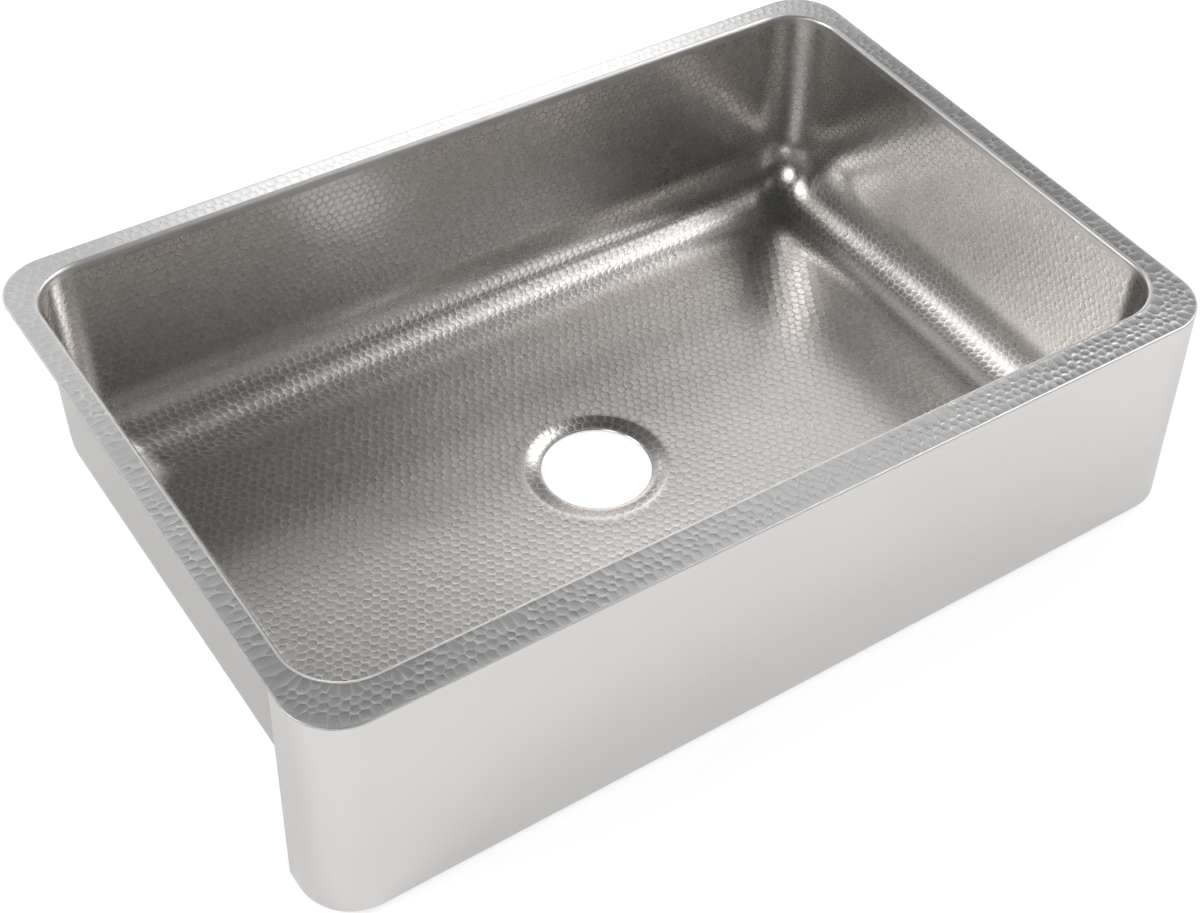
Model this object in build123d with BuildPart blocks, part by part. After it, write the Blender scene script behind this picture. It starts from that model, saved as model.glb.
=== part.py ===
"""Farmhouse apron front sink in hammered and satin sheet steel.

Frame: +X to the right as one stands at the sink, +Y to the back, +Z up.  The origin is under the
centre of the deck, at the level of the sink's lowest point, the underside of the drain recess.
All sizes are millimetres.
"""
import math
import os

from build123d import *

# ---------------------------------------------------------------- driving dimensions
WIDTH = 762.0  # deck and apron, left to right (30 in)
DEPTH = 514.0  # apron face to rear edge of the deck (20 1/4 in)
SHEET = 1.5  # steel of the basin, the deck and the apron

DECK_SIDE = 20.0  # width of the deck at each side of the basin
DECK_REAR = 20.0  # width of the deck behind the basin
DECK_FRONT = 32.0  # width of the deck in front of the basin
DECK_CORNER = 41.0  # outer corner radius of the deck and of the apron

BASIN_CORNER = 43.0  # upright corner radius of the basin at the lip
LIP_RADIUS = 3.0  # rounding of the lip, on the show side
LIP_DROP = 8.0  # how far the deck's lip turns down into the basin
WALL_DRAFT = 2.3  # degrees that the basin walls lean inward
COVE_RADIUS = 58.0  # inner radius from the walls to the floor
FLOOR_CORNER = 20.0  # plan radius of the floor's corners, inside the coves
BASIN_DEPTH = 189.0  # deck top to the floor at the drain recess
APRON_COVER = 1.5  # how far the apron reaches below that floor (7 1/2 in of apron in all)
FLOOR_FALL = 4.0  # how far the floor drops from the coves to the recess

DRAIN_RADIUS = 44.5  # hole for a standard 3 1/2 in strainer
DRAIN_SETBACK = 5.0  # drain centre, behind the centre of the basin
SEAT_WIDTH = 3.0  # flat ring round the hole, where the strainer's flange ends
RECESS_SLOPE = 11.0  # width of the conical ring between that seat and the floor
RECESS_DEPTH = 4.0  # floor to seat
RECESS_MARGIN = 6.0  # level band of floor round the recess
LEVEL_ROUNDING = 0.98  # corner radius of that band's outline, as a share of a full circle's

RETURN_LENGTH = 55.0  # apron face to the rear edge of each side return
HEM_WIDTH = 12.0  # inward fold along the apron's bottom edge
HEM_RADIUS = 2.5  # outer bend radius of that fold

STOCK = 1.2  # steel of the hidden cleat, ribs and brackets
CLEAT_LEG = 14.0  # both legs of the angle under the front deck
CLEAT_END_GAP = 10.0  # cleat end to the start of the apron's rounded corner
RIB_DEPTH = 12.0  # hat channel, sheet to crown
RIB_CROWN = 26.0  # width of the crown
RIB_FOOT = 14.0  # width of each welded foot
RIB_SPACING = 230.0  # centre to centre of the three ribs
RIB_GAP = 3.0  # clear of the cleat above and of the fold below

STAY_WIDTH = 30.0  # flat strap from the fold to the floor
STAY_THICKNESS = 3.0
STAY_SPACING = 420.0  # centre to centre of the two straps
STAY_LAP = 24.0  # length of strap welded to the floor
STAY_EDGE = 2.0  # strap end, behind the inner face of the apron

BRACKET_HEIGHT = 40.0  # bracket between a side return and the basin
BRACKET_SETBACK = 2.0  # from the return's rear edge
BRACKET_CORNER_GAP = 1.0  # welded leg to the start of the apron's rounded corner
BRACKET_DROP = 70.0  # deck top to the bracket's upper edge

PAD_THICKNESS = 3.0  # bonded rubber
PAD_CORNER = 8.0
PAD_RECESS_GAP = 10.0  # pads stay this far from the level band round the recess
PAD_COVE_GAP = 4.0  # and this far inside the coves
PAD_GAP = 10.0  # between neighbouring pads, and behind the straps
WALL_PAD_END_GAP = 68.0  # wall pad to the start of the basin's rounded corners
WALL_PAD_COVE_GAP = 4.0  # wall pad to the start of the cove
WALL_PAD_DROP = 42.0  # deck top to the upper edge of the wall pad

COVE_STEPS = 6  # sections round the cove

# ---------------------------------------------------------------- sizes that follow
RIM_Z = BASIN_DEPTH + RECESS_DEPTH + SHEET  # deck top above the lowest point
DECK_UNDER_Z = RIM_Z - SHEET
LIP_END_Z = RIM_Z - LIP_DROP
FLOOR_LOW_Z = RIM_Z - BASIN_DEPTH
COVE_END_Z = FLOOR_LOW_Z + FLOOR_FALL
SEAT_Z = FLOOR_LOW_Z - RECESS_DEPTH
APRON_LOW_Z = FLOOR_LOW_Z - APRON_COVER
HEM_TOP_Z = APRON_LOW_Z + SHEET

FRONT_Y = -DEPTH / 2
APRON_BACK_Y = FRONT_Y + SHEET
RETURN_Y = FRONT_Y + RETURN_LENGTH
BASIN_WIDTH = WIDTH - 2 * DECK_SIDE
BASIN_LENGTH = DEPTH - DECK_FRONT - DECK_REAR
BASIN_Y = (DECK_FRONT - DECK_REAR) / 2
DRAIN_Y = BASIN_Y + DRAIN_SETBACK
RECESS_SEAT = DRAIN_RADIUS + SEAT_WIDTH
RECESS_RADIUS = RECESS_SEAT + RECESS_SLOPE

# The cove starts where the leaning wall is tangent to its circle.
LEAN = math.radians(WALL_DRAFT)
COVE_TOP_Z = COVE_END_Z + COVE_RADIUS * (1 - math.sin(LEAN))
COVE_TOP_INSET = (LIP_END_Z - COVE_TOP_Z) * math.tan(LEAN)
FLOOR_INSET = COVE_TOP_INSET + COVE_RADIUS * math.cos(LEAN)
FLOOR_FRONT_Y = BASIN_Y - BASIN_LENGTH / 2 + FLOOR_INSET
FLOOR_REAR_Y = BASIN_Y + BASIN_LENGTH / 2 - FLOOR_INSET
FLOOR_HALF_WIDTH = BASIN_WIDTH / 2 - FLOOR_INSET
LEVEL_RADIUS = RECESS_RADIUS + RECESS_MARGIN


# ---------------------------------------------------------------- basin skins
def basin_corner(inset):
    """Plan corner radius of the show side: it shrinks steadily from the lip to the floor."""
    return BASIN_CORNER + (FLOOR_CORNER - BASIN_CORNER) * inset / FLOOR_INSET


def basin_section(inset, height, outward):
    """The basin's outline at one level, moved outward in plan from the show side."""
    with BuildSketch(Plane.XY.offset(height)) as section:
        with Locations((0, BASIN_Y)):
            RectangleRounded(
                BASIN_WIDTH - 2 * inset + 2 * outward,
                BASIN_LENGTH - 2 * inset + 2 * outward,
                basin_corner(inset) + outward,
            )
    return section.sketch


def cove_sections(outward):
    """Sections round the cove, on a skin moved outward along the surface's own normal."""
    sections = []
    for step in range(COVE_STEPS + 1):
        swing = LEAN + (math.pi / 2 - LEAN) * step / COVE_STEPS
        inset = FLOOR_INSET - COVE_RADIUS * math.cos(swing)
        height = COVE_END_Z + COVE_RADIUS - (COVE_RADIUS + outward) * math.sin(swing)
        sections.append(basin_section(inset, height, outward * math.cos(swing)))
    return sections


def level_band(height):
    """The floor's innermost outline, a square rounded nearly to a circle round the recess."""
    with BuildSketch(Plane.XY.offset(height)) as section:
        with Locations((0, DRAIN_Y)):
            RectangleRounded(2 * LEVEL_RADIUS, 2 * LEVEL_RADIUS, LEVEL_RADIUS * LEVEL_ROUNDING)
    return section.sketch


def basin_body(outward):
    """All that lies inside one skin of the basin: the show side at 0, the back at SHEET."""
    coves = cove_sections(outward)
    floor_z = COVE_END_Z - outward
    edge_run = outward * math.tan(math.atan2(RECESS_DEPTH, RECESS_SLOPE) / 2)
    with BuildPart() as body:
        loft(sections=[basin_section(0, LIP_END_Z, outward), coves[0]], ruled=True)
        loft(sections=coves)
        loft(sections=[coves[-1], level_band(floor_z - FLOOR_FALL)], ruled=True)
        with BuildSketch(Plane.XZ.offset(-DRAIN_Y)):
            with BuildLine():
                Polyline(
                    (0, floor_z),
                    (RECESS_RADIUS + edge_run, floor_z),
                    (RECESS_RADIUS + edge_run, FLOOR_LOW_Z - outward),
                    (RECESS_SEAT + edge_run, SEAT_Z - outward),
                    (0, SEAT_Z - outward),
                    close=True,
                )
            make_face()
        revolve(axis=Axis((0, DRAIN_Y, 0), (0, 0, 1)))
    return body.part


show_skin = basin_body(0)
back_skin = basin_body(SHEET)

# ---------------------------------------------------------------- basin
with BuildPart() as bowl_shell:
    add(back_skin)
    add(show_skin, mode=Mode.SUBTRACT)
    with Locations((0, DRAIN_Y, SEAT_Z)):
        Hole(DRAIN_RADIUS)
bowl_shell.part.label = "bowl_shell"

# ---------------------------------------------------------------- deck ring with its turned-down lip
with BuildPart() as rim_flange:
    with BuildSketch(Plane.XY.offset(DECK_UNDER_Z)):
        RectangleRounded(WIDTH, DEPTH, DECK_CORNER)
    extrude(amount=SHEET)
    with BuildSketch(Plane.XY.offset(LIP_END_Z)):
        with Locations((0, BASIN_Y)):
            RectangleRounded(BASIN_WIDTH + 2 * SHEET, BASIN_LENGTH + 2 * SHEET, BASIN_CORNER + SHEET)
    extrude(amount=LIP_DROP - SHEET)
    underside = rim_flange.faces().filter_by(Axis.Z).sort_by(Axis.Z)[1]
    fillet(underside.inner_wires()[0].edges(), radius=LIP_RADIUS - SHEET)
    with BuildSketch(Plane.XY.offset(LIP_END_Z)):
        with Locations((0, BASIN_Y)):
            RectangleRounded(BASIN_WIDTH, BASIN_LENGTH, BASIN_CORNER)
    extrude(amount=LIP_DROP, mode=Mode.SUBTRACT)
    lip = rim_flange.faces().sort_by(Axis.Z)[-1].inner_wires()[0].edges()
    fillet(lip, radius=LIP_RADIUS)
rim_flange.part.label = "rim_flange"

# ---------------------------------------------------------------- apron
with BuildPart() as apron_hollow:
    with BuildSketch(Plane.XY.offset(HEM_TOP_Z)):
        RectangleRounded(WIDTH - 2 * SHEET, DEPTH - 2 * SHEET, DECK_CORNER - SHEET)
    extrude(amount=DECK_UNDER_Z - HEM_TOP_Z)
    fillet(apron_hollow.faces().sort_by(Axis.Z)[0].edges(), radius=HEM_RADIUS - SHEET)
    with BuildSketch(Plane.XY.offset(APRON_LOW_Z)):
        RectangleRounded(WIDTH - 2 * HEM_WIDTH, DEPTH - 2 * HEM_WIDTH, DECK_CORNER - HEM_WIDTH)
    extrude(amount=SHEET)

with BuildPart() as apron_panel:
    with BuildSketch(Plane.XY.offset(APRON_LOW_Z)):
        RectangleRounded(WIDTH, DEPTH, DECK_CORNER)
    extrude(amount=DECK_UNDER_Z - APRON_LOW_Z)
    fillet(apron_panel.faces().sort_by(Axis.Z)[0].edges(), radius=HEM_RADIUS)
    add(apron_hollow.part, mode=Mode.SUBTRACT)
    split(bisect_by=Plane.XZ.offset(-RETURN_Y), keep=Keep.TOP)
apron_panel.part.label = "apron_panel"

# ---------------------------------------------------------------- hidden stiffeners of the apron
CLEAT_HALF = WIDTH / 2 - DECK_CORNER - CLEAT_END_GAP
with BuildPart() as apron_top_cleat:
    with BuildSketch(Plane.YZ.offset(-CLEAT_HALF)):
        with Locations((APRON_BACK_Y, DECK_UNDER_Z)):
            Rectangle(STOCK, CLEAT_LEG, align=(Align.MIN, Align.MAX))
            Rectangle(CLEAT_LEG, STOCK, align=(Align.MIN, Align.MAX))
    extrude(amount=2 * CLEAT_HALF)
apron_top_cleat.part.label = "apron_top_cleat"


def make_rib(name, rib_x):
    """An upright hat channel, feet against the back of the front sheet."""
    low = HEM_TOP_Z + RIB_GAP
    high = DECK_UNDER_Z - CLEAT_LEG - RIB_GAP
    with BuildPart() as rib:
        with BuildSketch(Plane.XY.offset(low)):
            with Locations((rib_x, APRON_BACK_Y)):
                Rectangle(RIB_CROWN + 2 * RIB_FOOT, STOCK, align=(Align.CENTER, Align.MIN))
                Rectangle(RIB_CROWN, RIB_DEPTH, align=(Align.CENTER, Align.MIN))
                Rectangle(
                    RIB_CROWN - 2 * STOCK,
                    RIB_DEPTH - STOCK,
                    align=(Align.CENTER, Align.MIN),
                    mode=Mode.SUBTRACT,
                )
        extrude(amount=high - low)
    rib.part.label = name
    return rib.part


def make_stay(name, stay_x):
    """A flat strap on top of the apron's bottom fold, lapped under the basin floor."""
    rear = FLOOR_FRONT_Y + STAY_LAP
    with BuildPart() as stay:
        with BuildSketch(Plane.XY.offset(HEM_TOP_Z)):
            with Locations((stay_x, rear)):
                Rectangle(
                    STAY_WIDTH,
                    rear - APRON_BACK_Y - STAY_EDGE,
                    align=(Align.CENTER, Align.MAX),
                )
        extrude(amount=STAY_THICKNESS)
        add(back_skin, mode=Mode.SUBTRACT)
    stay.part.label = name
    return stay.part


def make_bracket(name, side):
    """An angle from a side return to the basin's rounded front corner."""
    face_x = WIDTH / 2 - SHEET
    web_y = RETURN_Y - BRACKET_SETBACK
    leg = RETURN_LENGTH - DECK_CORNER - BRACKET_SETBACK - BRACKET_CORNER_GAP
    with BuildPart() as bracket:
        with BuildSketch(Plane.XY.offset(RIM_Z - BRACKET_DROP - BRACKET_HEIGHT)):
            with Locations((side * face_x, web_y)):
                inward = Align.MIN if side < 0 else Align.MAX
                Rectangle(STOCK, leg, align=(inward, Align.MAX))
                Rectangle(face_x - BASIN_WIDTH / 2 + BASIN_CORNER, STOCK, align=(inward, Align.MAX))
        extrude(amount=BRACKET_HEIGHT)
        add(back_skin, mode=Mode.SUBTRACT)
    bracket.part.label = name
    return bracket.part


ribs = [
    make_rib("apron_rib_left", -RIB_SPACING),
    make_rib("apron_rib_centre", 0),
    make_rib("apron_rib_right", RIB_SPACING),
]
stays = [
    make_stay("apron_stay_left", -STAY_SPACING / 2),
    make_stay("apron_stay_right", STAY_SPACING / 2),
]
brackets = [
    make_bracket("return_bracket_left", -1),
    make_bracket("return_bracket_right", 1),
]

# ---------------------------------------------------------------- rubber sound pads
PAD_REACH = LEVEL_RADIUS + PAD_RECESS_GAP  # drain centre to the edges of the pads round it
PAD_FRONT_Y = FLOOR_FRONT_Y + STAY_LAP + PAD_GAP
PAD_REAR_Y = FLOOR_REAR_Y - PAD_COVE_GAP
PAD_SIDE_X = FLOOR_HALF_WIDTH - PAD_COVE_GAP


def make_floor_pad(name, low_x, low_y, high_x, high_y):
    """A pad of even thickness that follows the falling floor's underside."""
    with BuildPart() as pad:
        with BuildSketch():
            with Locations(((low_x + high_x) / 2, (low_y + high_y) / 2)):
                RectangleRounded(high_x - low_x, high_y - low_y, PAD_CORNER)
        extrude(amount=COVE_END_Z)
        add(back_skin.moved(Location((0, 0, -PAD_THICKNESS))), mode=Mode.INTERSECT)
        add(back_skin, mode=Mode.SUBTRACT)
    pad.part.label = name
    return pad.part


WALL_PAD_WIDTH = BASIN_WIDTH - 2 * (BASIN_CORNER + WALL_PAD_END_GAP)
WALL_PAD_TOP_Z = RIM_Z - WALL_PAD_DROP
WALL_PAD_LOW_Z = COVE_TOP_Z + WALL_PAD_COVE_GAP

with BuildPart() as front_wall_pad:
    with BuildSketch(Plane.XZ.offset(-APRON_BACK_Y)):
        with Locations((0, (WALL_PAD_TOP_Z + WALL_PAD_LOW_Z) / 2)):
            RectangleRounded(WALL_PAD_WIDTH, WALL_PAD_TOP_Z - WALL_PAD_LOW_Z, PAD_CORNER)
    extrude(amount=-(BASIN_Y - APRON_BACK_Y))
    add(back_skin.moved(Location((0, -PAD_THICKNESS, 0))), mode=Mode.INTERSECT)
    add(back_skin, mode=Mode.SUBTRACT)
front_wall_pad.part.label = "front_wall_pad"

pads = [
    make_floor_pad("floor_pad_left", -PAD_SIDE_X, PAD_FRONT_Y, -PAD_REACH, PAD_REAR_Y),
    make_floor_pad("floor_pad_right", PAD_REACH, PAD_FRONT_Y, PAD_SIDE_X, PAD_REAR_Y),
    make_floor_pad(
        "floor_pad_front",
        -PAD_REACH + PAD_GAP,
        PAD_FRONT_Y,
        PAD_REACH - PAD_GAP,
        DRAIN_Y - PAD_REACH,
    ),
    make_floor_pad(
        "floor_pad_rear",
        -PAD_REACH + PAD_GAP,
        DRAIN_Y + PAD_REACH,
        PAD_REACH - PAD_GAP,
        PAD_REAR_Y,
    ),
    front_wall_pad.part,
]

# ---------------------------------------------------------------- one file for each piece
os.makedirs("parts", exist_ok=True)
pieces = [bowl_shell.part, rim_flange.part, apron_panel.part, apron_top_cleat.part]
for piece in pieces + ribs + stays + brackets + pads:
    export_step(piece, f"parts/{piece.label}.step")
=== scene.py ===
"""Farmhouse apron front sink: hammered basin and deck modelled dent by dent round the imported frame.

Sizes are millimetres until a mesh is made; MM turns them into metres.  +X is to the right as one
stands at the sink, +Y to the back, +Z up, as in the frame.
"""
import math

import bpy
import numpy as np
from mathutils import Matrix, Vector
from mathutils.geometry import delaunay_2d_cdt


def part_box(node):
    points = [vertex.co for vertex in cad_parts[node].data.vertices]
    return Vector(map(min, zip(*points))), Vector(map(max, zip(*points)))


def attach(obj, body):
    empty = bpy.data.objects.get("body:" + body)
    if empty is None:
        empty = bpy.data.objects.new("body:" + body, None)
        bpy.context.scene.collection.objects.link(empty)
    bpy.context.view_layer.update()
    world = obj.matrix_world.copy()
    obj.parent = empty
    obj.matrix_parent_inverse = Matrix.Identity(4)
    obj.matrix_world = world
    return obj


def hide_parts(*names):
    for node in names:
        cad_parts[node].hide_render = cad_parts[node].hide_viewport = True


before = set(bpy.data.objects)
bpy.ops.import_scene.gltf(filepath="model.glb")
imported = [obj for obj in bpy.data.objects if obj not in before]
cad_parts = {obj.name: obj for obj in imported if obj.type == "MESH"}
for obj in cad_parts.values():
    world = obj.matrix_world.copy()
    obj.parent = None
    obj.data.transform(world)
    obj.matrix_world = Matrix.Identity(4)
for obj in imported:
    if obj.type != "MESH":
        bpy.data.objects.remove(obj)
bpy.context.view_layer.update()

MM = 0.001
rng = np.random.default_rng(1912)

# ---------------------------------------------------------------- sizes of the sink
deck_low, deck_high = (np.array(corner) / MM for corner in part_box("rim_flange"))
bowl_low, bowl_high = (np.array(corner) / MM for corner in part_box("bowl_shell"))
SHEET = 1.5
HALF_WIDTH = deck_high[0]
HALF_DEPTH = deck_high[1]
RIM_Z = deck_high[2]
LIP_END_Z = deck_low[2]
HALF_BASIN_X = bowl_high[0] - SHEET
HALF_BASIN_Y = (bowl_high[1] - bowl_low[1]) / 2 - SHEET
BASIN_Y = (bowl_high[1] + bowl_low[1]) / 2

DECK_CORNER = 41.0
BASIN_CORNER = 43.0
FLOOR_CORNER = 20.0
LIP_RADIUS = 3.0
LEAN = math.radians(2.3)
COVE_RADIUS = 58.0
RECESS_DEPTH = 4.0
FLOOR_FALL = 4.0
FLOOR_LOW_Z = SHEET + RECESS_DEPTH
COVE_END_Z = FLOOR_LOW_Z + FLOOR_FALL
DRAIN_Y = BASIN_Y + 5.0
DRAIN_RADIUS = 44.5
DRAIN_EDGE = DRAIN_RADIUS + 1.2  # where the dents stop round the drain
DRAIN_SINK = 2.8  # how far the hole's edge lies below the floor
RECESS_RADIUS = 58.5
RECESS_MARGIN = 6.0  # level floor round the recess

COVE_TOP_Z = COVE_END_Z + COVE_RADIUS * (1 - math.sin(LEAN))
WALL_RUN = (LIP_END_Z - COVE_TOP_Z) / math.cos(LEAN)
COVE_RUN = COVE_RADIUS * (math.pi / 2 - LEAN)
FLOOR_INSET = WALL_RUN * math.sin(LEAN) + COVE_RADIUS * math.cos(LEAN)

# ---------------------------------------------------------------- sizes of the dents
CELL_WIDTH = 7.6
ROW_HEIGHT = 6.6
WALL_CELL_WIDTH = 6.6
WALL_ROW_HEIGHT = 5.8
CELL_JITTER = 0.28  # of a cell, either way
CIRCLE_JITTER = 0.6 * CELL_JITTER  # the same round the drain
DENT_DEPTH = 0.10
DENT_SPREAD = 0.35  # share by which one dent differs from the next
BASIN_POWER = 4  # how flat the middle of a dent in the basin is against its edge
DECK_POWER = 2.6  # the same on the deck, where the dents are rounder
DENT_RINGS = (0.52, 0.86)  # shares of the way from a dent's centre to its ridge
SHORTEST_REACH = 0.5  # keeps the slope of a very small dent within reason
RIDGE_POWER = 5  # how narrow the line along a ridge is, which is rougher and darkened by painted shade


# ---------------------------------------------------------------- plan outlines
def rounded_loop(fraction, half_x, half_y, radius, centre_y=0.0):
    """Points and outward directions on a rounded rectangle, by fraction of its length from +X."""
    run_y = 2 * (half_y - radius)
    run_x = 2 * (half_x - radius)
    arc = math.pi * radius / 2
    half_length = run_x + run_y + 2 * arc
    turned = np.floor(fraction * 2).astype(int) % 2 == 1
    along = (fraction * 2 % 1.0) * half_length
    first = (along - run_y) / radius
    second = (along - run_y - arc - run_x) / radius
    swing = np.where(along < run_y + arc + run_x, np.clip(first, 0, math.pi / 2), math.pi / 2 + second)
    out_x, out_y = np.cos(swing), np.sin(swing)
    on_side = along < run_y
    on_back = (along >= run_y + arc) & (along < run_y + arc + run_x)
    core_x = np.where(swing > math.pi / 2, -run_x / 2, run_x / 2)
    core_x = np.where(on_back, run_x / 2 - (along - run_y - arc), core_x)
    core_y = np.where(on_side, along - run_y / 2, run_y / 2)
    sign = np.where(turned, -1.0, 1.0)
    x = sign * (core_x + radius * out_x)
    y = sign * (core_y + radius * out_y) + centre_y
    return x, y, sign * out_x, sign * out_y


def loop_length(half_x, half_y, radius):
    return 4 * (half_x + half_y) - 8 * radius + 2 * math.pi * radius


def onto_loop(x, y, half_x, half_y, radius, centre_y=0.0):
    """The nearest points of a rounded rectangle, with the outward directions there."""
    core_x = np.clip(x, radius - half_x, half_x - radius)
    core_y = np.clip(y - centre_y, radius - half_y, half_y - radius)
    away = np.stack([x - core_x, y - centre_y - core_y])
    away /= np.linalg.norm(away, axis=0)
    return core_x + radius * away[0], core_y + centre_y + radius * away[1], away[0], away[1]


def depth_within(x, y, half_x, half_y, radius, centre_y=0.0):
    """How far inside a rounded rectangle points are; negative outside it."""
    past_x = np.abs(x) - (half_x - radius)
    past_y = np.abs(y - centre_y) - (half_y - radius)
    outside = np.hypot(np.maximum(past_x, 0), np.maximum(past_y, 0))
    return radius - outside - np.minimum(np.maximum(past_x, past_y), 0)


# ---------------------------------------------------------------- show side of the basin
def section(run):
    """Inset and height at a run down the walls and round the coves, from the lip's end."""
    swing = LEAN + (run - WALL_RUN) / COVE_RADIUS
    on_wall = run < WALL_RUN
    inset = np.where(on_wall, run * math.sin(LEAN), FLOOR_INSET - COVE_RADIUS * np.cos(swing))
    height = np.where(
        on_wall,
        LIP_END_Z - run * math.cos(LEAN),
        COVE_END_Z + COVE_RADIUS * (1 - np.sin(swing)),
    )
    return inset, height


def plan_radius(inset):
    return BASIN_CORNER + (FLOOR_CORNER - BASIN_CORNER) * inset / FLOOR_INSET


def wall_point(fraction, run):
    inset, height = section(run)
    x, y, _, _ = rounded_loop(
        fraction, HALF_BASIN_X - inset, HALF_BASIN_Y - inset, plan_radius(inset), BASIN_Y
    )
    return np.stack([x, y, height], axis=-1)


def wall_normal(fraction, run):
    """Unit normals into the basin."""
    step_f, step_r = 1e-4, 0.25
    along = wall_point(fraction + step_f, run) - wall_point(fraction - step_f, run)
    down = wall_point(fraction, run + step_r) - wall_point(fraction, run - step_r)
    normal = np.cross(along, down)
    return normal / np.linalg.norm(normal, axis=-1, keepdims=True)


def recess_height(radius):
    """The shallow cone round the drain hole."""
    share = np.clip((radius - DRAIN_EDGE) / (RECESS_RADIUS - DRAIN_EDGE), 0, 1)
    return FLOOR_LOW_Z - DRAIN_SINK * (1 - share)


def floor_height(x, y):
    """The floor's gentle fall from the coves to the level band round the recess, and the recess."""
    half_x, half_y = HALF_BASIN_X - FLOOR_INSET, HALF_BASIN_Y - FLOOR_INSET
    to_cove = np.maximum(depth_within(x, y, half_x, half_y, FLOOR_CORNER, BASIN_Y), 0.0)
    radius = np.hypot(x, y - DRAIN_Y)
    to_drain = np.maximum(radius - RECESS_RADIUS - RECESS_MARGIN, 0.0)
    share = to_drain / (to_drain + to_cove + 1e-9)
    eased = share * share * (3 - 2 * share)
    return recess_height(radius) + FLOOR_FALL * (share + eased) / 2


def floor_normal(x, y):
    step = 0.5
    slope_x = (floor_height(x + step, y) - floor_height(x - step, y)) / (2 * step)
    slope_y = (floor_height(x, y + step) - floor_height(x, y - step)) / (2 * step)
    normal = np.stack([-slope_x, -slope_y, np.ones_like(slope_x)], axis=-1)
    return normal / np.linalg.norm(normal, axis=-1, keepdims=True)


# ---------------------------------------------------------------- dents between their ridges
def zipper(upper, lower):
    """Anticlockwise triangles between two closed rows of sorted fractions.

    Each is given by its (row, index) corners and the mean fraction of its corners.
    """
    rows = (upper, lower)

    def at(row, index):
        return row[index % len(row)] + index // len(row)

    triangles = []
    i, k = 0, int(np.argmin(np.abs(lower - upper[0])))
    end_i, end_k = len(upper), k + len(lower)
    while i < end_i or k < end_k:
        upper_step = abs(at(upper, i + 1) - at(lower, k))
        lower_step = abs(at(upper, i) - at(lower, k + 1))
        if k >= end_k or (i < end_i and upper_step <= lower_step):
            triangles.append(((0, i), (0, i + 1), (1, k)))
            i += 1
        else:
            triangles.append(((0, i), (1, k + 1), (1, k)))
            k += 1
    found = []
    for corners in triangles:
        middle = sum(at(rows[side], index) for side, index in corners) / 3
        found.append(([(side, index % len(rows[side])) for side, index in corners], middle))
    return found


def hex_seeds(low, high, keep, width=CELL_WIDTH, height=ROW_HEIGHT):
    """Jittered seeds in offset rows over a plan rectangle, where keep says so."""
    rows = np.arange(low[1], high[1], height)
    seeds = []
    for index, y in enumerate(rows):
        x = np.arange(low[0] + width / 2 * (index % 2), high[0], width)
        jitter = rng.uniform(-CELL_JITTER, CELL_JITTER, (len(x), 2)) * (width, height)
        seeds.append(np.stack([x, np.full(len(x), y)], axis=1) + jitter)
    seeds = np.concatenate(seeds)
    return seeds[keep(seeds[:, 0], seeds[:, 1])]


def circle_seeds(radius):
    """Jittered seeds on a circle round the drain."""
    count = round(2 * math.pi * radius / CELL_WIDTH)
    jitter = rng.uniform(-CIRCLE_JITTER, CIRCLE_JITTER, count)
    angle = (np.arange(count) + jitter + rng.uniform()) * 2 * math.pi / count
    return np.stack([radius * np.cos(angle), DRAIN_Y + radius * np.sin(angle)], axis=1)


def inside_polygon(polygon, x, y):
    x0, y0 = polygon[:, 0], polygon[:, 1]
    x1, y1 = np.roll(x0, -1), np.roll(y0, -1)
    crosses = (y0 > y) != (y1 > y)
    reach = x0 + (y - y0) / np.where(y1 == y0, 1e-12, y1 - y0) * (x1 - x0)
    return bool(np.count_nonzero(crosses & (x < reach)) % 2)


def plan_triangles(loops, seeds):
    """Delaunay triangles between closed loops and loose seeds, numbered loops first."""
    points = np.concatenate(loops + [seeds])
    edges = []
    start = 0
    for loop in loops:
        numbers = start + np.arange(len(loop))
        edges += list(zip(numbers, np.roll(numbers, -1)))
        start += len(loop)
    edges = [(int(a), int(b)) for a, b in edges]
    made = delaunay_2d_cdt([tuple(p) for p in points], edges, [], 0, 1e-6)
    source = [origin[0] for origin in made[3]]
    triangles = [[source[v] for v in face] for face in made[2]]
    loop_of = [np.full(len(loop), number) for number, loop in enumerate(loops)]
    loop_of = np.concatenate(loop_of + [np.full(len(seeds), -1)])
    kept = []
    for triangle in triangles:
        sides = set(loop_of[triangle])
        if len(sides) == 1 and -1 not in sides:
            centre = points[triangle].mean(axis=0)
            number = sides.pop()
            within = inside_polygon(loops[number], *centre)
            if within == (number > 0):
                continue
        kept.append(triangle)
    return kept


class Dents:
    """A field of dents: seeds with normals and depths, and the ridge corners between them."""

    def __init__(self):
        self.seeds, self.normals, self.depths, self.groups = [], [], [], []
        self.corners, self.corner_normals = [], []
        self.fans = {}

    def add_seeds(self, points, normals, depths, groups):
        first = len(self.seeds)
        self.seeds += list(points)
        self.normals += list(normals)
        self.depths += list(depths)
        self.groups += groups
        return first + np.arange(len(points))

    def add_corner(self, point, normal, seeds):
        """A ridge corner where three dents meet, anticlockwise; negative numbers stand for no dent."""
        self.corners.append(point)
        self.corner_normals.append(normal)
        number = len(self.corners) - 1
        a, b, c = (int(seed) for seed in seeds)
        for seed, before, after in ((a, b, c), (b, c, a), (c, a, b)):
            if seed >= 0:
                self.fans.setdefault(seed, {})[before] = (after, number)
        return number

    def polygons(self):
        """The corners round each seed, anticlockwise as seen from the show side."""
        found = {}
        for seed, fan in self.fans.items():
            start = next(iter(fan))
            here, number = fan[start]
            polygon = [number]
            while here != start:
                here, number = fan[here]
                polygon.append(number)
            found[seed] = polygon
        return found


SHOW, BACK, BAND = 0, 1, 2  # finishes: dented side, plain back, smooth bands
SHARP_ANGLE = math.radians(35)


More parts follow.
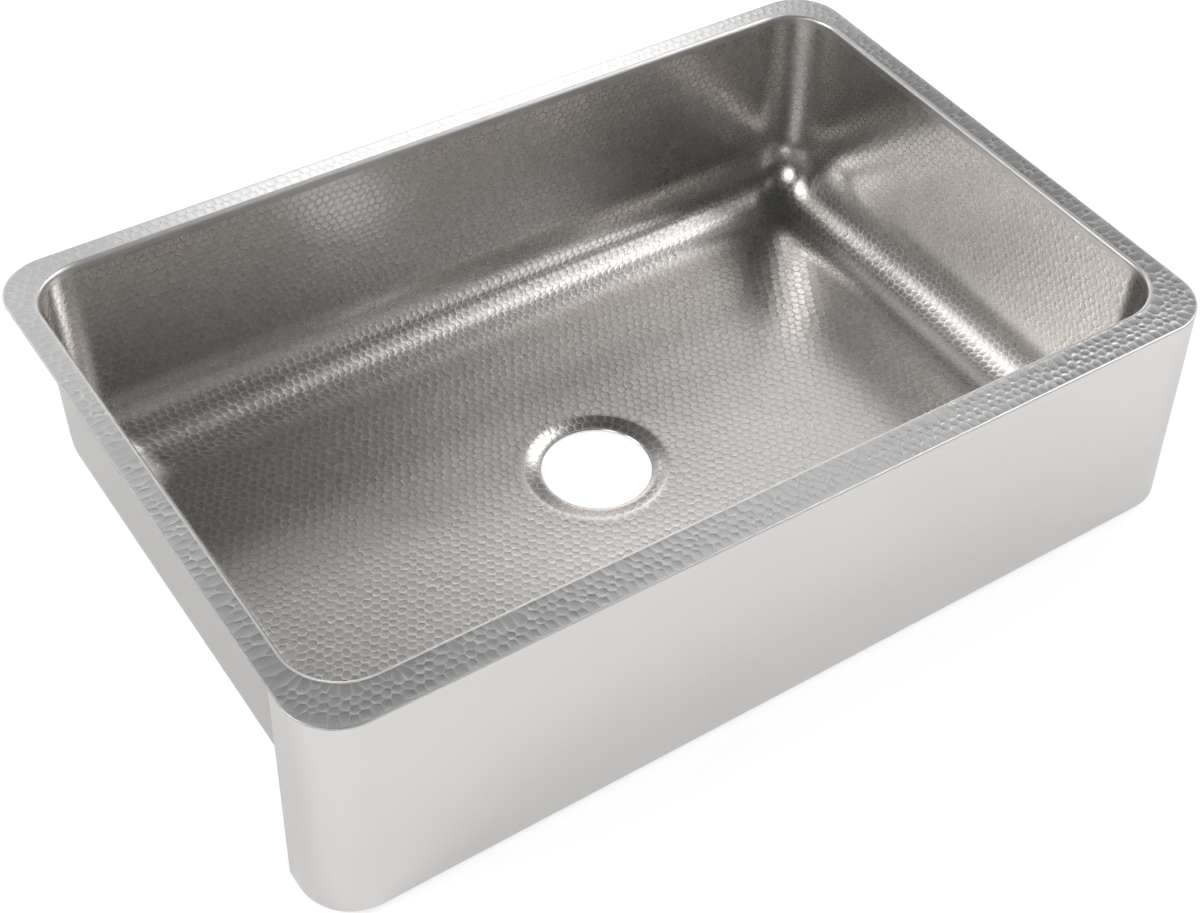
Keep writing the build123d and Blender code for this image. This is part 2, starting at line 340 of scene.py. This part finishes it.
class Skin:
    """Vertices and faces of one piece, in millimetres."""

    def __init__(self):
        self.points, self.normals, self.ridges, self.faces, self.finish = [], [], [], [], []

    def add(self, point, normal=(0.0, 0.0, 0.0), ridge=0.0):
        """A vertex; a zero normal is left to the shading, and ridge says how near a ridge it is."""
        self.points.append(point)
        self.normals.append(normal)
        self.ridges.append(ridge)
        return len(self.points) - 1

    def face(self, numbers, finish=SHOW):
        self.faces.append(numbers)
        self.finish.append(finish)

    def band(self, near, far, finish):
        """Quads between two closed rings of equal count."""
        for k in range(len(near)):
            n = (k + 1) % len(near)
            self.face([near[k], near[n], far[n], far[k]], finish)

    def piece(self, name, node, materials):
        mesh = bpy.data.meshes.new(name)
        mesh.from_pydata([tuple(float(v) * MM for v in p) for p in self.points], [], self.faces)
        for material in materials:
            mesh.materials.append(material)
        mesh.polygons.foreach_set("material_index", self.finish)
        mesh.polygons.foreach_set("use_smooth", [True] * len(self.faces))
        mesh.attributes.new("ridge", "FLOAT", "POINT").data.foreach_set("value", self.ridges)
        mesh.set_sharp_from_angle(angle=SHARP_ANGLE)
        self.shade(mesh)
        obj = bpy.data.objects.new(name, mesh)
        bpy.context.scene.collection.objects.link(obj)
        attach(obj, "root")
        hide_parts(node)
        return obj

    def shade(self, mesh):
        """Sets the known normals on the show faces, so that shading runs on over a seam."""
        corners = np.empty(len(mesh.loops), dtype=np.int32)
        mesh.loops.foreach_get("vertex_index", corners)
        shaded = np.empty(len(mesh.loops) * 3)
        mesh.corner_normals.foreach_get("vector", shaded)
        known = np.array(self.normals)[corners]
        shown = np.repeat(np.array(self.finish) != BACK, [len(face) for face in self.faces])
        shown &= known.any(axis=1)
        normals = np.where(shown[:, None], known, shaded.reshape(-1, 3))
        mesh.normals_split_custom_set(normals.tolist())


def dent_skin(skin, dents, polygons, group):
    """Adds a group's dents and its back side; returns front and back vertices by corner number."""
    front, back = {}, {}
    power = DECK_POWER if group == "deck_rim" else BASIN_POWER
    for seed, polygon in polygons.items():
        if dents.groups[seed] != group:
            continue
        for corner in polygon:
            if corner not in front:
                point, normal = dents.corners[corner], dents.corner_normals[corner]
                front[corner] = skin.add(point, normal, 1.0)
                back[corner] = skin.add(point - normal * SHEET)
        centre, normal, depth = dents.seeds[seed], dents.normals[seed], dents.depths[seed]
        reach = np.array([dents.corners[c] for c in polygon]) - centre
        lengths = np.maximum(np.linalg.norm(reach, axis=1, keepdims=True), SHORTEST_REACH)
        turned = np.array([dents.corner_normals[c] for c in polygon]) - normal
        middle = skin.add(centre - normal * depth, normal)
        rings = []
        for share in DENT_RINGS:
            points = centre + reach * share - normal * depth * (1 - share**power)
            slopes = power * depth * share ** (power - 1) / lengths
            tilted = normal + turned * share - reach / lengths * slopes
            tilted /= np.linalg.norm(tilted, axis=1, keepdims=True)
            rings.append([skin.add(point, tilt, share**RIDGE_POWER) for point, tilt in zip(points, tilted)])
        rings.append([front[c] for c in polygon])
        count = len(polygon)
        for k in range(count):
            skin.face([middle, rings[0][k], rings[0][(k + 1) % count]])
        for inner, outer in zip(rings, rings[1:]):
            for k in range(count):
                n = (k + 1) % count
                skin.face([inner[k], outer[k], outer[n], inner[n]])
        skin.face([back[c] for c in reversed(polygon)], BACK)
    return front, back


def open_edges(polygons, members):
    """Directed polygon edges that no second member of the group shares."""
    edges = {}
    for seed in members:
        polygon = polygons[seed]
        for a, b in zip(polygon, polygon[1:] + polygon[:1]):
            edges[(a, b)] = seed
    return [(a, b) for a, b in edges if (b, a) not in edges]


def closed_chains(edges):
    """Walks directed edges into closed rings of corner numbers."""
    following = dict(edges)
    chains = []
    while following:
        start, here = next(iter(following.items()))
        del following[start]
        chain = [start]
        while here != start:
            chain.append(here)
            here = following.pop(here)
        chains.append(chain)
    return chains


def dent_depths(count, depth):
    return depth * (1 + DENT_SPREAD * rng.uniform(-1, 1, count))


# ---------------------------------------------------------------- basin
WALL_ROWS = 20  # the rows below these are the coves
ROW_START = 0.3  # where each row starts, of a cell
COVE_CLEARANCE = 0.35  # of a row, from the coves' end to the floor's seeds
RECESS_ROWS = (-2, -1, 0)  # two rows of dents inside the recess's edge and one outside it
RECESS_SNAP = 0.27  # of such a row: ridge corners this near the recess's edge lie on it
HOLE_ROUND = 0.4

# Shares of DENT_DEPTH
CORNER_SHARE = 0.35  # in the upright corners, which are ground smoother
CORNER_REACH = 1.3  # how soon that share is reached as a wall turns the corner
COVE_SHARE = 0.7
RIGHT_SHARE = 0.75  # on the right side, which the photograph shows smoother
RIGHT_NORMAL = -0.7  # walls whose normal's X is less than this are the right side
EDGE_SHARE = 0.5  # in the first row, under the lip
FLOOR_SHARE = 0.85
RECESS_SHARE = 0.6


def upright_share(fraction, run):
    """1 on the flat walls, falling to CORNER_SHARE in the middle of the upright corners."""
    normal = wall_normal(fraction, run)
    flat = np.hypot(normal[:, 0], normal[:, 1])
    turn = 2 * np.abs(normal[:, 0] * normal[:, 1]) / (flat * flat)
    return 1 - (1 - CORNER_SHARE) * np.clip(turn * CORNER_REACH, 0, 1)


def side_name(normal):
    """Which side of the basin a point is on, from its normal."""
    if abs(normal[0]) > abs(normal[1]):
        return "left" if normal[0] > 0 else "right"
    return "front" if normal[1] > 0 else "back"


def add_wall_dents(dents):
    """Adds rows of dents down the walls and the coves; returns the last row and the rows' pitch."""
    row_count = round((WALL_RUN + COVE_RUN) / WALL_ROW_HEIGHT)
    pitch = (WALL_RUN + COVE_RUN) / row_count
    for row in range(row_count):
        on_wall = row < WALL_ROWS
        run = (row + 0.5) * pitch
        inset = float(section(np.array(run))[0])
        length = loop_length(HALF_BASIN_X - inset, HALF_BASIN_Y - inset, float(plan_radius(inset)))
        count = round(length / WALL_CELL_WIDTH)
        jitter = rng.uniform(-CELL_JITTER, CELL_JITTER, (count, 2))
        fractions = (np.arange(count) + 0.5 * (row % 2) + ROW_START + jitter[:, 0]) / count
        runs = run + jitter[:, 1] * pitch
        points, normals = wall_point(fractions, runs), wall_normal(fractions, runs)
        share = upright_share(fractions, runs) * (1.0 if on_wall else COVE_SHARE)
        share = share * np.where(normals[:, 0] < RIGHT_NORMAL, RIGHT_SHARE, 1.0)
        if row == 0:
            share = share * EDGE_SHARE
            above = (np.arange(count) + ROW_START) / count
            above_runs = np.zeros(count)
            above_ids = -1 - np.arange(count)
        level = "wall" if on_wall else "cove"
        groups = [f"basin_{level}_{side_name(normal)}" for normal in normals]
        numbers = dents.add_seeds(points, normals, dent_depths(count, DENT_DEPTH * share), groups)

        found = zipper(above, fractions)
        touching = [[(above_ids, numbers)[side][index] for side, index in corners] for corners, _ in found]
        corner_runs = np.array(
            [np.mean([(above_runs, runs)[side][index] for side, index in corners]) for corners, _ in found]
        )
        corner_runs[np.min(touching, axis=1) < 0] = 0.0
        spots = np.array([fraction for _, fraction in found]), corner_runs
        for point, normal, ids in zip(wall_point(*spots), wall_normal(*spots), touching):
            dents.add_corner(point, normal, ids)
        above, above_runs, above_ids = fractions, runs, numbers
    return above_ids, pitch


def add_floor_dents(dents, last_row, pitch):
    """Adds the floor's dents inside the coves' last row; returns the ridge corners round the drain."""
    outer = np.array([dents.seeds[number][:2] for number in last_row])
    half_x, half_y = HALF_BASIN_X - FLOOR_INSET, HALF_BASIN_Y - FLOOR_INSET

    def on_floor(x, y):
        inward = depth_within(x, y, half_x, half_y, FLOOR_CORNER, BASIN_Y)
        outside_recess = np.hypot(x, y - DRAIN_Y) > RECESS_RADIUS + ROW_HEIGHT
        return (inward > pitch * COVE_CLEARANCE) & outside_recess

    seeds = hex_seeds((-half_x, BASIN_Y - half_y), (half_x, BASIN_Y + half_y), on_floor)
    recess_row = (RECESS_RADIUS - DRAIN_EDGE) / 2
    circles = [circle_seeds(RECESS_RADIUS + (row + 0.5) * recess_row) for row in RECESS_ROWS]
    seeds = np.concatenate([seeds] + circles)
    ghost_radius = DRAIN_EDGE - ROW_HEIGHT / 2
    ghost_count = round(2 * math.pi * DRAIN_EDGE / CELL_WIDTH)
    ghost_angle = np.linspace(0, 2 * math.pi, ghost_count, endpoint=False)
    ghosts = np.stack([np.cos(ghost_angle), np.sin(ghost_angle)], axis=1) * ghost_radius + (0, DRAIN_Y)

    x, y = seeds.T
    points = np.stack([x, y, floor_height(x, y)], axis=1)
    share = np.where(np.hypot(x, y - DRAIN_Y) < RECESS_RADIUS, RECESS_SHARE, FLOOR_SHARE)
    depths = dent_depths(len(seeds), DENT_DEPTH * share)
    numbers = dents.add_seeds(points, floor_normal(x, y), depths, ["basin_floor"] * len(seeds))

    ids = np.concatenate([last_row, -1 - np.arange(len(ghosts)), numbers])
    triangles = np.array(plan_triangles([outer, ghosts], seeds))
    spots = np.concatenate([outer, ghosts, seeds])[triangles].mean(axis=1)
    away = spots - (0, DRAIN_Y)
    distance = np.linalg.norm(away, axis=1)
    outward = away / distance[:, None]
    at_drain = ids[triangles].min(axis=1) < 0
    at_recess = np.abs(distance - RECESS_RADIUS) < recess_row * RECESS_SNAP
    for touches, radius in ((at_recess, RECESS_RADIUS), (at_drain, DRAIN_EDGE)):
        spots = np.where(touches[:, None], (0, DRAIN_Y) + outward * radius, spots)
    x, y = spots.T
    points = np.stack([x, y, floor_height(x, y)], axis=1)
    rim = set()
    for point, normal, touching, on_rim in zip(points, floor_normal(x, y), ids[triangles], at_drain):
        number = dents.add_corner(point, normal, touching)
        if on_rim:
            rim.add(number)
    return rim


def add_drain_edge(skin, dents, chain, front, back):
    """From the innermost dents to the drain hole, round the hole's edge and back."""
    spots = np.array([dents.corners[c] for c in chain])
    angle = np.arctan2(spots[:, 1] - DRAIN_Y, spots[:, 0])
    top = FLOOR_LOW_Z - DRAIN_SINK
    profile = [
        (DRAIN_RADIUS + HOLE_ROUND, top),
        (DRAIN_RADIUS, top - HOLE_ROUND),
        (DRAIN_RADIUS, top - SHEET + HOLE_ROUND),
        (DRAIN_RADIUS + HOLE_ROUND, top - SHEET),
    ]
    rings = [[front[c] for c in chain]]
    for radius, height in profile:
        circle = [(radius * math.cos(a), DRAIN_Y + radius * math.sin(a), height) for a in angle]
        rings.append([skin.add(point) for point in circle])
    rings.append([back[c] for c in chain])
    for near, far in zip(rings, rings[1:]):
        skin.band(far, near, BAND)


def make_basin(materials):
    dents = Dents()
    last_row, pitch = add_wall_dents(dents)
    rim = add_floor_dents(dents, last_row, pitch)
    polygons = dents.polygons()
    for name in sorted(set(dents.groups)):
        skin = Skin()
        front, back = dent_skin(skin, dents, polygons, name)
        members = [seed for seed in polygons if dents.groups[seed] == name]
        at_drain = []
        for a, b in open_edges(polygons, members):
            if a in rim and b in rim:
                at_drain.append((a, b))
            else:
                skin.face([front[b], front[a], back[a], back[b]], BACK)
        for chain in closed_chains(at_drain):
            add_drain_edge(skin, dents, chain, front, back)
        skin.piece(name, "bowl_shell", materials)


# ---------------------------------------------------------------- deck and lip
DECK_CELL_WIDTH = 7.4
DECK_ROW_HEIGHT = 6.2
EDGE_BAND = 1.2  # smooth band along the deck's outer edge
LIP_BAND = 3.4  # smooth band along the lip, with its rounding
EDGE_ROUND = 0.5
EDGE_STEPS = 3
LIP_STEPS = 6
LIP_TIP = 0.3  # the tip's bevel
TIP_STEPS = 3
EDGE_TOLERANCE = 0.5  # tells the deck's outer edge from its inner one
SEED_CLEARANCE = 0.8  # of half a row, between the smooth bands and the deck's seeds
FRONT_DECK_Y = -215.0  # the deck's wider front lies before this
FRONT_DEPTHS = ((-365.0, 0.07), (-320.0, 0.10), (0.0, 0.10), (120.0, 0.13), (330.0, 0.13), (365.0, 0.09))
SIDE_DEPTHS = ((-180.0, 0.10), (60.0, 0.09), (220.0, 0.04))


def deck_depth(x, y):
    """Depth of the deck's dents, by X along the front, and by Y along the sides and the back."""
    front = np.interp(x, *zip(*FRONT_DEPTHS))
    sides = np.interp(y, *zip(*SIDE_DEPTHS))
    return np.where(y < FRONT_DECK_Y, front, sides)


def deck_dents():
    dents = Dents()
    outer = (HALF_WIDTH - EDGE_BAND, HALF_DEPTH - EDGE_BAND, DECK_CORNER - EDGE_BAND, 0.0)
    inner = (HALF_BASIN_X + LIP_BAND, HALF_BASIN_Y + LIP_BAND, BASIN_CORNER + LIP_BAND, BASIN_Y)
    half = DECK_ROW_HEIGHT / 2

    def grown(loop, by):
        return loop[0] + by, loop[1] + by, loop[2] + by, loop[3]

    def ring(loop):
        count = round(loop_length(*loop[:3]) / DECK_CELL_WIDTH)
        x, y, _, _ = rounded_loop((np.arange(count) + 0.5) / count, *loop)
        return np.stack([x, y], axis=1)

    def on_deck(x, y):
        clearance = half * SEED_CLEARANCE
        return (depth_within(x, y, *outer) > clearance) & (depth_within(x, y, *inner) < -clearance)

    loops = [ring(grown(outer, half)), ring(grown(inner, -half))]
    reach = np.array([HALF_WIDTH, HALF_DEPTH])
    seeds = hex_seeds(-reach, reach, on_deck, DECK_CELL_WIDTH, DECK_ROW_HEIGHT)
    up = np.array([0.0, 0.0, 1.0])
    points = np.column_stack([seeds, np.full(len(seeds), RIM_Z)])
    depths = dent_depths(len(seeds), deck_depth(*seeds.T))
    numbers = dents.add_seeds(points, np.tile(up, (len(seeds), 1)), depths, ["deck_rim"] * len(seeds))
    ids = np.concatenate([-1 - np.arange(len(loops[0]) + len(loops[1])), numbers])
    triangles = np.array(plan_triangles(loops, seeds))
    x, y = np.concatenate(loops + [seeds])[triangles].mean(axis=1).T
    lowest = ids[triangles].min(axis=1)
    at_lip = lowest < -len(loops[0])
    at_edge = (lowest < 0) & ~at_lip
    for touches, loop in ((at_edge, outer), (at_lip, inner)):
        x[touches], y[touches], _, _ = onto_loop(x[touches], y[touches], *loop)
    for spot_x, spot_y, touching in zip(x, y, ids[triangles]):
        dents.add_corner(np.array([spot_x, spot_y, RIM_Z]), up, touching)
    return dents, outer, inner


def lip_profile():
    """Outward distance from the basin's opening and height, from the deck round the lip and back."""
    arc = np.linspace(0, math.pi / 2, LIP_STEPS + 1)
    centre_z = RIM_Z - LIP_RADIUS
    inner = LIP_RADIUS - SHEET
    show = [(LIP_RADIUS - LIP_RADIUS * math.sin(a), centre_z + LIP_RADIUS * math.cos(a)) for a in arc]
    tip = [(0.0, LIP_END_Z + LIP_TIP), (LIP_TIP, LIP_END_Z), (SHEET, LIP_END_Z)]
    hidden = [(LIP_RADIUS - inner * math.sin(a), centre_z + inner * math.cos(a)) for a in arc[::-1]]
    return show + tip + hidden


def edge_profile():
    """Distance inward from the deck's outer edge and height, from the top round to the underside."""
    arc = np.linspace(0, math.pi / 2, EDGE_STEPS + 1)
    top = [(EDGE_ROUND * (1 - math.sin(a)), RIM_Z - EDGE_ROUND * (1 - math.cos(a))) for a in arc]
    low = [(d, 2 * RIM_Z - SHEET - z) for d, z in top[::-1]]
    return top + low


def make_deck(materials):
    dents, outer, inner = deck_dents()
    polygons = dents.polygons()
    skin = Skin()
    front, back = dent_skin(skin, dents, polygons, "deck_rim")
    for chain in closed_chains(open_edges(polygons, list(polygons))):
        spots = np.array([dents.corners[c] for c in chain])
        at_edge = np.abs(spots[:, 0]).max() > HALF_WIDTH - EDGE_BAND - EDGE_TOLERANCE
        loop = outer if at_edge else inner
        x, y, out_x, out_y = onto_loop(spots[:, 0], spots[:, 1], *loop)
        rings = [[front[c] for c in chain]]
        for distance, height in edge_profile() if at_edge else lip_profile():
            shift = EDGE_BAND - distance if at_edge else distance - LIP_BAND
            ring = np.stack([x + out_x * shift, y + out_y * shift, np.full(len(x), height)], axis=1)
            rings.append([skin.add(p) for p in ring])
        rings.append([back[c] for c in chain])
        last_shown = EDGE_STEPS + 1 if at_edge else LIP_STEPS + TIP_STEPS
        for number, (near, far) in enumerate(zip(rings, rings[1:])):
            skin.band(far, near, BAND if number <= last_shown else BACK)
    skin.piece("deck_rim", "rim_flange", materials)


# ---------------------------------------------------------------- materials
def material(name):
    made = bpy.data.materials.new(name)
    made.use_nodes = True
    tree = made.node_tree
    return made, tree, tree.nodes["Principled BSDF"]


def node(tree, kind, inputs=(), **settings):
    made = tree.nodes.new(kind)
    for key, value in settings.items():
        setattr(made, key, value)
    for key, value in dict(inputs).items():
        if isinstance(value, bpy.types.NodeSocket):
            tree.links.new(value, made.inputs[key])
        else:
            made.inputs[key].default_value = value
    return made


def math_node(tree, operation, *values):
    return node(tree, "ShaderNodeMath", dict(enumerate(values)), operation=operation).outputs[0]


GRAIN = (900.0, 900.0, 900.0)
BRUSHED = (1500.0, 1500.0, 60.0)  # grain drawn out along Z
DRIFT_SCALE = 9.0
TINT_SPREAD = 0.04  # share by which the colour drifts either way
RUBBER_DARK = (0.02, 0.02, 0.022, 1)
RUBBER_PALE = (0.05, 0.05, 0.052, 1)


def steel(name, colour, roughness, spread, grain, grain_height, painted_ridge_shade=0.0, ridge_rough=0.0):
    """Metal whose colour and roughness drift slowly, with a fine grain of grain_height millimetres.

    Along a dent's ridge it is rougher by ridge_rough, and its colour carries painted shade, darker by the
    given ridge shade share.
    """
    made, tree, shader = material(name)
    place = node(tree, "ShaderNodeTexCoord").outputs["Object"]
    drift = node(tree, "ShaderNodeTexNoise", {"Vector": place, "Scale": DRIFT_SCALE, "Detail": 3.0})
    darker = (*[channel * (1 - TINT_SPREAD) for channel in colour], 1)
    lighter = (*[channel * (1 + TINT_SPREAD) for channel in colour], 1)
    tint = node(
        tree,
        "ShaderNodeMix",
        {"Factor": drift.outputs["Fac"], "A": darker, "B": lighter},
        data_type="RGBA",
    )
    rough = node(
        tree,
        "ShaderNodeMapRange",
        {"Value": drift.outputs["Fac"], "To Min": roughness - spread, "To Max": roughness + spread},
    )
    colour_out, rough_out = tint.outputs["Result"], rough.outputs["Result"]
    # painted shade: the colour is darkened along the dents' ridges, where the ridge attribute nears 1
    if painted_ridge_shade:
        ridge = node(tree, "ShaderNodeAttribute", attribute_name="ridge").outputs["Fac"]
        kept = math_node(tree, "MULTIPLY_ADD", ridge, -painted_ridge_shade, 1.0)
        shaded = node(tree, "ShaderNodeVectorMath", {0: colour_out}, operation="SCALE")
        tree.links.new(kept, shaded.inputs["Scale"])
        colour_out = shaded.outputs["Vector"]
        rough_out = math_node(tree, "MULTIPLY_ADD", ridge, ridge_rough, rough_out)
    tree.links.new(colour_out, shader.inputs["Base Color"])
    tree.links.new(rough_out, shader.inputs["Roughness"])
    scaled = node(tree, "ShaderNodeMapping", {"Vector": place, "Scale": grain})
    spot = scaled.outputs["Vector"]
    grains = node(tree, "ShaderNodeTexNoise", {"Vector": spot, "Scale": 1.0, "Detail": 2.0})
    bump = node(
        tree,
        "ShaderNodeBump",
        {"Height": grains.outputs["Fac"], "Strength": 1.0, "Distance": grain_height * MM},
    )
    tree.links.new(bump.outputs["Normal"], shader.inputs["Normal"])
    shader.inputs["Metallic"].default_value = 1.0
    return made


def rubber(name):
    """Dark rubber with a fine pebbled face."""
    made, tree, shader = material(name)
    place = node(tree, "ShaderNodeTexCoord").outputs["Object"]
    grains = node(tree, "ShaderNodeTexNoise", {"Vector": place, "Scale": GRAIN[0], "Detail": 3.0})
    height = grains.outputs["Fac"]
    tint = node(
        tree,
        "ShaderNodeMix",
        {"Factor": height, "A": RUBBER_DARK, "B": RUBBER_PALE},
        data_type="RGBA",
    )
    tree.links.new(tint.outputs["Result"], shader.inputs["Base Color"])
    bump = node(tree, "ShaderNodeBump", {"Height": height, "Strength": 0.6, "Distance": 0.4 * MM})
    tree.links.new(bump.outputs["Normal"], shader.inputs["Normal"])
    shader.inputs["Roughness"].default_value = 0.75
    return made


# the hammered steels are darkened by 0.04 along their dents' ridges as painted shade
hammered = steel("hammered_steel", (0.60, 0.578, 0.56), 0.22, 0.02, GRAIN, 0.02, 0.04, 0.08)
deck_finish = steel("hammered_deck", (0.565, 0.56, 0.556), 0.23, 0.03, GRAIN, 0.02, 0.04, 0.05)
plain_back = steel("plain_back", (0.60, 0.59, 0.58), 0.38, 0.05, GRAIN, 0.02)
polished = steel("polished_edge", (0.56, 0.555, 0.55), 0.37, 0.02, GRAIN, 0.004)
satin = steel("satin_steel", (0.76, 0.742, 0.73), 0.34, 0.02, BRUSHED, 0.006)
mill = steel("mill_steel", (0.52, 0.52, 0.515), 0.42, 0.06, GRAIN, 0.02)
pad_rubber = rubber("damping_rubber")

make_basin([hammered, plain_back, hammered])
make_deck([deck_finish, plain_back, polished])

for name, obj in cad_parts.items():
    if name == "apron_panel":
        finish = satin
    elif "pad" in name:
        finish = pad_rubber
    else:
        finish = mill
    obj.data.materials.clear()
    obj.data.materials.append(finish)

# ---------------------------------------------------------------- camera
PHOTO_WIDTH, PHOTO_HEIGHT = 1200, 913
CAMERA_PLACE = (-0.7056, -1.0367, 1.2604)
CAMERA_TURN = (49.527, -2.575, -34.742)  # degrees about X, Y and Z
FOCAL_PIXELS = 2210.5
CENTRE_PIXEL = (688.5, 299.3)  # the lens axis in the cropped photograph

camera_data = bpy.data.cameras.new("camera")
camera_data.sensor_width = 36.0
camera_data.lens = FOCAL_PIXELS / PHOTO_WIDTH * camera_data.sensor_width
camera_data.shift_x = (PHOTO_WIDTH / 2 - CENTRE_PIXEL[0]) / PHOTO_WIDTH
camera_data.shift_y = (CENTRE_PIXEL[1] - PHOTO_HEIGHT / 2) / PHOTO_WIDTH
camera = bpy.data.objects.new("camera", camera_data)
camera.location = CAMERA_PLACE
camera.rotation_euler = [math.radians(angle) for angle in CAMERA_TURN]
bpy.context.scene.collection.objects.link(camera)
bpy.context.scene.camera = camera

# ---------------------------------------------------------------- floor, world and lights
FLOOR_HALF = 6.0
FLOOR_COLOUR = (0.6, 0.6, 0.6, 1)
FLOOR_ROUGHNESS = 0.9
FLOOR_GLOW = 0.62  # light of its own that the camera sees, so that the floor shows white
MIRRORED_GLOW = 0.34  # the same as the steel mirrors it


def make_floor():
    """A pale matt floor, which the camera sees as white and the steel mirrors as a pale grey."""
    mesh = bpy.data.meshes.new("studio_floor")
    signs = [(-1, -1), (1, -1), (1, 1), (-1, 1)]
    corners = [(sign_x * FLOOR_HALF, sign_y * FLOOR_HALF, 0) for sign_x, sign_y in signs]
    mesh.from_pydata(corners, [], [(0, 1, 2, 3)])
    floor = bpy.data.objects.new("studio_floor", mesh)
    bpy.context.scene.collection.objects.link(floor)
    made, tree, shader = material("white_floor")
    shader.inputs["Base Color"].default_value = FLOOR_COLOUR
    shader.inputs["Roughness"].default_value = FLOOR_ROUGHNESS
    shader.inputs["Emission Color"].default_value = (1, 1, 1, 1)
    rays = node(tree, "ShaderNodeLightPath").outputs
    shown = math_node(tree, "MULTIPLY", rays["Is Camera Ray"], FLOOR_GLOW)
    mirrored = math_node(tree, "ADD", rays["Is Glossy Ray"], rays["Is Transmission Ray"])
    glow = math_node(tree, "MULTIPLY_ADD", mirrored, MIRRORED_GLOW, shown)
    tree.links.new(glow, shader.inputs["Emission Strength"])
    mesh.materials.append(made)


def ramp(tree, value, start, end, low, high):
    """A smooth step from low to high as the value goes from start to end."""
    made = node(
        tree,
        "ShaderNodeMapRange",
        {"Value": value, "From Min": start, "From Max": end, "To Min": low, "To Max": high},
        interpolation_type="SMOOTHSTEP",
    )
    return made.outputs["Result"]


def along(tree, ray, direction):
    """How far a ray goes along a direction, both of length 1."""
    vectors = {0: ray, 1: tuple(direction)}
    return node(tree, "ShaderNodeVectorMath", vectors, operation="DOT_PRODUCT").outputs["Value"]


def softbox(tree, ray, azimuth, elevation, half_width, half_height, feather, strength):
    """A feathered rectangle of light in the sky; azimuth runs from +X towards +Y, all in degrees.

    Offsets from the centre are measured on a plane that touches the sky there, so FACING_LEAST keeps
    them finite and FACING_FULL leaves the far half of the sky dark.
    """
    turn, rise = math.radians(azimuth), math.radians(elevation)
    centre = Vector((math.cos(rise) * math.cos(turn), math.cos(rise) * math.sin(turn), math.sin(rise)))
    side = Vector((-math.sin(turn), math.cos(turn), 0.0))
    facing = along(tree, ray, centre)
    depth = math_node(tree, "MAXIMUM", facing, FACING_LEAST)
    light = ramp(tree, facing, 0.0, FACING_FULL, 0.0, strength)
    for axis, half in ((side, half_width), (centre.cross(side), half_height)):
        offset = math_node(tree, "ABSOLUTE", math_node(tree, "DIVIDE", along(tree, ray, axis), depth))
        inner = math.tan(math.radians(half - feather))
        outer = math.tan(math.radians(half + feather))
        light = math_node(tree, "MULTIPLY", light, ramp(tree, offset, inner, outer, 1.0, 0.0))
    return light


FACING_LEAST = 0.05
FACING_FULL = 0.1
SKY = ((-90.0, 1.0), (0.0, 0.8), (10.0, 0.5), (20.0, 0.06), (90.0, 0.05))  # degrees up, glow
SOFTBOXES = (
    # azimuth, elevation, half width, half height, feather, strength
    (160.0, 42.0, 7.5, 11.0, 5.0, 12.5),
    (165.0, 20.0, 7.5, 8.0, 4.0, 6.0),
    (144.0, 27.0, 5.5, 6.0, 3.5, 1.6),
    (-16.0, 44.5, 7.0, 10.0, 3.5, 11.0),
    (-33.0, 57.5, 7.0, 5.0, 3.5, 2.2),
    (-45.5, 45.5, 5.0, 4.0, 3.0, 3.4),
    (4.0, 62.0, 9.0, 7.0, 5.0, 0.5),
    (22.5, 50.0, 6.5, 5.5, 3.5, 11.5),
    (48.5, 44.5, 5.5, 4.0, 3.0, 1.25),
    (66.0, 45.0, 6.5, 3.5, 3.0, 0.45),
    (73.5, 42.0, 5.0, 4.5, 4.0, 0.4),
    (76.0, 55.0, 13.0, 6.0, 5.0, 0.1),
    (61.0, 33.5, 7.5, 5.5, 2.5, 3.2),
    (63.0, 5.0, 9.0, 6.5, 5.0, 5.0),
    (90.0, 36.5, 8.0, 6.0, 3.5, 5.0),
    (98.0, 31.0, 8.0, 11.0, 5.0, 1.2),
    (110.0, 60.0, 7.0, 10.0, 4.0, 0.6),
    (-150.0, 41.5, 7.0, 6.0, 5.0, 7.0),
    (-90.0, 53.0, 7.0, 5.0, 4.0, 0.4),
    (-70.0, 14.0, 7.0, 4.0, 3.0, 0.4),
    (-55.0, 23.5, 7.0, 7.5, 3.0, 2.8),
    (-44.0, 6.0, 6.5, 11.0, 3.0, 2.2),
)


def make_world():
    """A sky that is pale at the horizon and dark above, with the soft boxes in it."""
    world = bpy.data.worlds.new("studio")
    bpy.context.scene.world = world
    world.use_nodes = True
    tree = world.node_tree
    ray = node(tree, "ShaderNodeTexCoord").outputs["Generated"]
    height = node(tree, "ShaderNodeSeparateXYZ", {"Vector": ray}).outputs["Z"]
    light = SKY[0][1]
    for (low, glow_low), (high, glow_high) in zip(SKY, SKY[1:]):
        start, end = math.sin(math.radians(low)), math.sin(math.radians(high))
        step = ramp(tree, height, start, end, 0.0, glow_high - glow_low)
        light = math_node(tree, "ADD", light, step)
    for box in SOFTBOXES:
        light = math_node(tree, "ADD", light, softbox(tree, ray, *box))
    background = tree.nodes["Background"]
    background.inputs["Color"].default_value = (1, 1, 1, 1)
    tree.links.new(light, background.inputs["Strength"])


make_floor()
make_world()

bpy.context.scene.view_settings.view_transform = "Standard"
